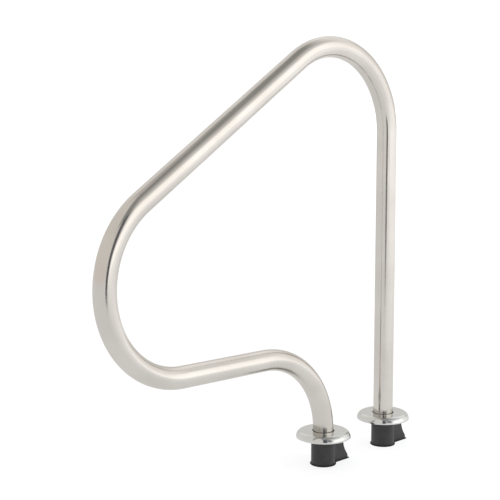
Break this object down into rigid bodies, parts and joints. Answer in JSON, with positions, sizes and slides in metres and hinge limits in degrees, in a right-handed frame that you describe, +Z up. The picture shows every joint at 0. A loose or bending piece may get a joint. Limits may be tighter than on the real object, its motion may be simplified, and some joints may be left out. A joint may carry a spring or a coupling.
{
  "type": "pool handrail",
  "caption": "Figure-four pool handrail of bent stainless tube, with round escutcheons over the plastic wedge anchors that hold its legs in the deck.",
  "frame": {"origin": "on the front leg's axis, level with the deck's surface", "axes": "+Z up along the legs, +X from the front leg to the rear leg and away from the water, +Y across the rail's plane"},
  "size_m": [0.9582, 0.13, 1.0028],
  "materials": {
    "rail_steel": "satin-polished stainless steel tube",
    "cover_steel": "polished stainless steel pressing",
    "anchor_plastic": "black moulded plastic",
    "cap_plastic": "black moulded plastic",
    "wedge_bronze": "cast bronze",
    "fastener_steel": "plain stainless steel"
  },
  "bodies": {
    "anchors": {"front_anchor_socket": "anchor_plastic", "front_anchor_bottom_cap": "cap_plastic", "rear_anchor_socket": "anchor_plastic", "rear_anchor_bottom_cap": "cap_plastic"},
    "rail": {"rail_tube": "rail_steel"},
    "front_cover": {"front_escutcheon": "cover_steel"},
    "front_washer": {"front_bolt_washer": "fastener_steel"},
    "front_bolt": {"front_wedge_bolt": "fastener_steel"},
    "front_wedge": {"front_clamp_wedge": "wedge_bronze"},
    "rear_cover": {"rear_escutcheon": "cover_steel"},
    "rear_washer": {"rear_bolt_washer": "fastener_steel"},
    "rear_bolt": {"rear_wedge_bolt": "fastener_steel"},
    "rear_wedge": {"rear_clamp_wedge": "wedge_bronze"}
  },
  "joints": [
    {"name": "rail_lift", "type": "slide", "parent": "anchors", "child": "rail", "axis": [0, 0, 1], "range_m": [0, 0.06]},
    {"name": "front_cover_slide", "type": "slide", "parent": "anchors", "child": "front_cover", "axis": [0, 0, 1], "range_m": [0, 0.026]},
    {"name": "front_washer_shift", "type": "slide", "parent": "anchors", "child": "front_washer", "axis": [1, 0, 0], "range_m": [0, 0.00213]},
    {"name": "front_bolt_turn", "type": "hinge", "parent": "front_washer", "child": "front_bolt", "pos_m": [0.038, 0, -0.0114], "axis": [0, 0, 1], "range_deg": [0, 1800]},
    {"name": "front_wedge_slide", "type": "slide", "parent": "anchors", "child": "front_wedge", "axis": [0.2588, 0, -0.9659], "range_m": [0, 0.00822]},
    {"name": "rear_cover_slide", "type": "slide", "parent": "anchors", "child": "rear_cover", "axis": [0, 0, 1], "range_m": [0, 0.69]},
    {"name": "rear_washer_shift", "type": "slide", "parent": "anchors", "child": "rear_washer", "axis": [1, 0, 0], "range_m": [0, 0.00213]},
    {"name": "rear_bolt_turn", "type": "hinge", "parent": "rear_washer", "child": "rear_bolt", "pos_m": [0.25888, 0, -0.0114], "axis": [0, 0, 1], "range_deg": [0, 1800]},
    {"name": "rear_wedge_slide", "type": "slide", "parent": "anchors", "child": "rear_wedge", "axis": [0.2588, 0, -0.9659], "range_m": [0, 0.00822]}
  ],
  "couplings": [
    {"joint": "front_washer_shift", "follows": "front_wedge_slide", "ratio": 0.25882},
    {"joint": "front_bolt_turn", "follows": "front_wedge_slide", "rad_per_m": 3823},
    {"joint": "rear_washer_shift", "follows": "rear_wedge_slide", "ratio": 0.25882},
    {"joint": "rear_bolt_turn", "follows": "rear_wedge_slide", "rad_per_m": 3823}
  ]
}
